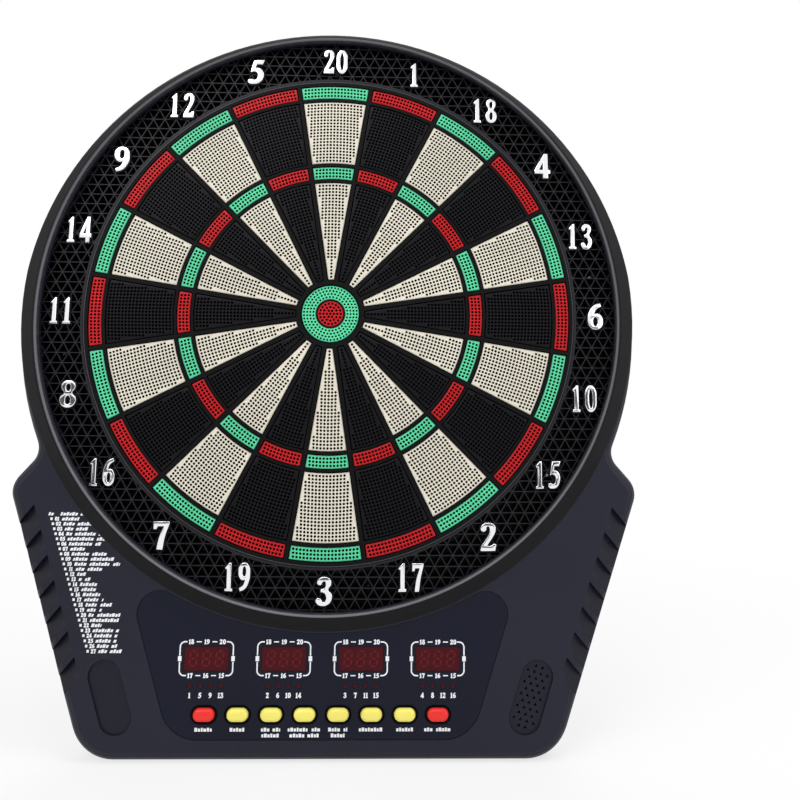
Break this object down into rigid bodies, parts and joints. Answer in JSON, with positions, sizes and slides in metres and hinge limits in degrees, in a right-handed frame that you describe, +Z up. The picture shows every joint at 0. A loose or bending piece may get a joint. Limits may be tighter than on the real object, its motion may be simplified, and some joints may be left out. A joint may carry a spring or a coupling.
{
  "type": "electronic dartboard cabinet",
  "caption": "Wall-hung electronic dartboard: round target of sprung dimpled keys in a web, lattice catch ring, tapered housing with grips, displays, push buttons and speaker.",
  "frame": {"origin": "on the bull axis, in the plane of the rear shell's flat back, which lies on the wall", "axes": "+Z up the wall, +X to the right as seen by the player, front of the target towards -Y, wall towards +Y"},
  "size_m": [0.433, 0.031, 0.5048],
  "materials": {
    "housing": "satin moulded black plastic with a slight blue cast",
    "ring_plastic": "fine matt black",
    "web_plastic": "matt black",
    "key_pale": "cream key with a dimpled face",
    "key_dark": "black key with a dimpled face",
    "key_green": "green key with a dimpled face",
    "key_red": "red key with a dimpled face",
    "mat_rubber": "soft sheet",
    "film": "printed sensor film",
    "hardboard": "pressed hardboard",
    "screw_steel": "zinc plated",
    "overlay": "smooth printed film",
    "window": "dark red filter",
    "board": "solder mask",
    "display": "segment display block",
    "lamp": "red diffused lamp",
    "switch_plastic": "black moulding",
    "speaker_cone": "paper cone in a steel basket",
    "lead": "insulated lead",
    "button_red": "soft pillow cap",
    "button_yellow": "soft pillow cap"
  },
  "bodies": {
    "housing": {"front_shell": "housing", "rear_shell": "housing", "catch_ring": "ring_plastic", "spider": "web_plastic", "return_mat": "mat_rubber", "sensor_matrix": "film", "backing_plate": "hardboard", "target_screws": "screw_steel", "housing_screws": "screw_steel", "panel_overlay": "overlay", "display_windows": "window", "main_board": "board", "board_screws": "screw_steel", "display_1": "display", "display_2": "display", "display_3": "display", "display_4": "display", "player_lamps": "lamp", "tact_switches": "switch_plastic", "matrix_connector": "switch_plastic", "controller_chip": "switch_plastic", "speaker": "speaker_cone", "speaker_lead": "lead", "dc_jack": "switch_plastic", "jack_lead": "lead"},
    "keys_20": {"keys_20": "key_pale"},
    "keys_1": {"keys_1": "key_dark"},
    "keys_18": {"keys_18": "key_pale"},
    "keys_4": {"keys_4": "key_dark"},
    "keys_13": {"keys_13": "key_pale"},
    "keys_6": {"keys_6": "key_dark"},
    "keys_10": {"keys_10": "key_pale"},
    "keys_15": {"keys_15": "key_dark"},
    "keys_2": {"keys_2": "key_pale"},
    "keys_17": {"keys_17": "key_dark"},
    "keys_3": {"keys_3": "key_pale"},
    "keys_19": {"keys_19": "key_dark"},
    "keys_7": {"keys_7": "key_pale"},
    "keys_16": {"keys_16": "key_dark"},
    "keys_8": {"keys_8": "key_pale"},
    "keys_11": {"keys_11": "key_dark"},
    "keys_14": {"keys_14": "key_pale"},
    "keys_9": {"keys_9": "key_dark"},
    "keys_12": {"keys_12": "key_pale"},
    "keys_5": {"keys_5": "key_dark"},
    "outer_bull": {"outer_bull": "key_green"},
    "inner_bull": {"inner_bull": "key_red"},
    "button_1": {"button_1": "button_red"},
    "button_2": {"button_2": "button_yellow"},
    "button_3": {"button_3": "button_yellow"},
    "button_4": {"button_4": "button_yellow"},
    "button_5": {"button_5": "button_yellow"},
    "button_6": {"button_6": "button_yellow"},
    "button_7": {"button_7": "button_yellow"},
    "button_8": {"button_8": "button_red"}
  },
  "joints": [
    {"name": "press_20", "type": "slide", "parent": "housing", "child": "keys_20", "axis": [0, 1, 0], "range_m": [0, 0.001], "stiffness_N_per_m": 600},
    {"name": "press_1", "type": "slide", "parent": "housing", "child": "keys_1", "axis": [0, 1, 0], "range_m": [0, 0.001], "stiffness_N_per_m": 600},
    {"name": "press_18", "type": "slide", "parent": "housing", "child": "keys_18", "axis": [0, 1, 0], "range_m": [0, 0.001], "stiffness_N_per_m": 600},
    {"name": "press_4", "type": "slide", "parent": "housing", "child": "keys_4", "axis": [0, 1, 0], "range_m": [0, 0.001], "stiffness_N_per_m": 600},
    {"name": "press_13", "type": "slide", "parent": "housing", "child": "keys_13", "axis": [0, 1, 0], "range_m": [0, 0.001], "stiffness_N_per_m": 600},
    {"name": "press_6", "type": "slide", "parent": "housing", "child": "keys_6", "axis": [0, 1, 0], "range_m": [0, 0.001], "stiffness_N_per_m": 600},
    {"name": "press_10", "type": "slide", "parent": "housing", "child": "keys_10", "axis": [0, 1, 0], "range_m": [0, 0.001], "stiffness_N_per_m": 600},
    {"name": "press_15", "type": "slide", "parent": "housing", "child": "keys_15", "axis": [0, 1, 0], "range_m": [0, 0.001], "stiffness_N_per_m": 600},
    {"name": "press_2", "type": "slide", "parent": "housing", "child": "keys_2", "axis": [0, 1, 0], "range_m": [0, 0.001], "stiffness_N_per_m": 600},
    {"name": "press_17", "type": "slide", "parent": "housing", "child": "keys_17", "axis": [0, 1, 0], "range_m": [0, 0.001], "stiffness_N_per_m": 600},
    {"name": "press_3", "type": "slide", "parent": "housing", "child": "keys_3", "axis": [0, 1, 0], "range_m": [0, 0.001], "stiffness_N_per_m": 600},
    {"name": "press_19", "type": "slide", "parent": "housing", "child": "keys_19", "axis": [0, 1, 0], "range_m": [0, 0.001], "stiffness_N_per_m": 600},
    {"name": "press_7", "type": "slide", "parent": "housing", "child": "keys_7", "axis": [0, 1, 0], "range_m": [0, 0.001], "stiffness_N_per_m": 600},
    {"name": "press_16", "type": "slide", "parent": "housing", "child": "keys_16", "axis": [0, 1, 0], "range_m": [0, 0.001], "stiffness_N_per_m": 600},
    {"name": "press_8", "type": "slide", "parent": "housing", "child": "keys_8", "axis": [0, 1, 0], "range_m": [0, 0.001], "stiffness_N_per_m": 600},
    {"name": "press_11", "type": "slide", "parent": "housing", "child": "keys_11", "axis": [0, 1, 0], "range_m": [0, 0.001], "stiffness_N_per_m": 600},
    {"name": "press_14", "type": "slide", "parent": "housing", "child": "keys_14", "axis": [0, 1, 0], "range_m": [0, 0.001], "stiffness_N_per_m": 600},
    {"name": "press_9", "type": "slide", "parent": "housing", "child": "keys_9", "axis": [0, 1, 0], "range_m": [0, 0.001], "stiffness_N_per_m": 600},
    {"name": "press_12", "type": "slide", "parent": "housing", "child": "keys_12", "axis": [0, 1, 0], "range_m": [0, 0.001], "stiffness_N_per_m": 600},
    {"name": "press_5", "type": "slide", "parent": "housing", "child": "keys_5", "axis": [0, 1, 0], "range_m": [0, 0.001], "stiffness_N_per_m": 600},
    {"name": "press_outer_bull", "type": "slide", "parent": "housing", "child": "outer_bull", "axis": [0, 1, 0], "range_m": [0, 0.001], "stiffness_N_per_m": 400},
    {"name": "press_inner_bull", "type": "slide", "parent": "housing", "child": "inner_bull", "axis": [0, 1, 0], "range_m": [0, 0.001], "stiffness_N_per_m": 400},
    {"name": "press_button_1", "type": "slide", "parent": "housing", "child": "button_1", "axis": [0, 1, 0], "range_m": [0, 0.0012], "stiffness_N_per_m": 500},
    {"name": "press_button_2", "type": "slide", "parent": "housing", "child": "button_2", "axis": [0, 1, 0], "range_m": [0, 0.0012], "stiffness_N_per_m": 500},
    {"name": "press_button_3", "type": "slide", "parent": "housing", "child": "button_3", "axis": [0, 1, 0], "range_m": [0, 0.0012], "stiffness_N_per_m": 500},
    {"name": "press_button_4", "type": "slide", "parent": "housing", "child": "button_4", "axis": [0, 1, 0], "range_m": [0, 0.0012], "stiffness_N_per_m": 500},
    {"name": "press_button_5", "type": "slide", "parent": "housing", "child": "button_5", "axis": [0, 1, 0], "range_m": [0, 0.0012], "stiffness_N_per_m": 500},
    {"name": "press_button_6", "type": "slide", "parent": "housing", "child": "button_6", "axis": [0, 1, 0], "range_m": [0, 0.0012], "stiffness_N_per_m": 500},
    {"name": "press_button_7", "type": "slide", "parent": "housing", "child": "button_7", "axis": [0, 1, 0], "range_m": [0, 0.0012], "stiffness_N_per_m": 500},
    {"name": "press_button_8", "type": "slide", "parent": "housing", "child": "button_8", "axis": [0, 1, 0], "range_m": [0, 0.0012], "stiffness_N_per_m": 500}
  ]
}
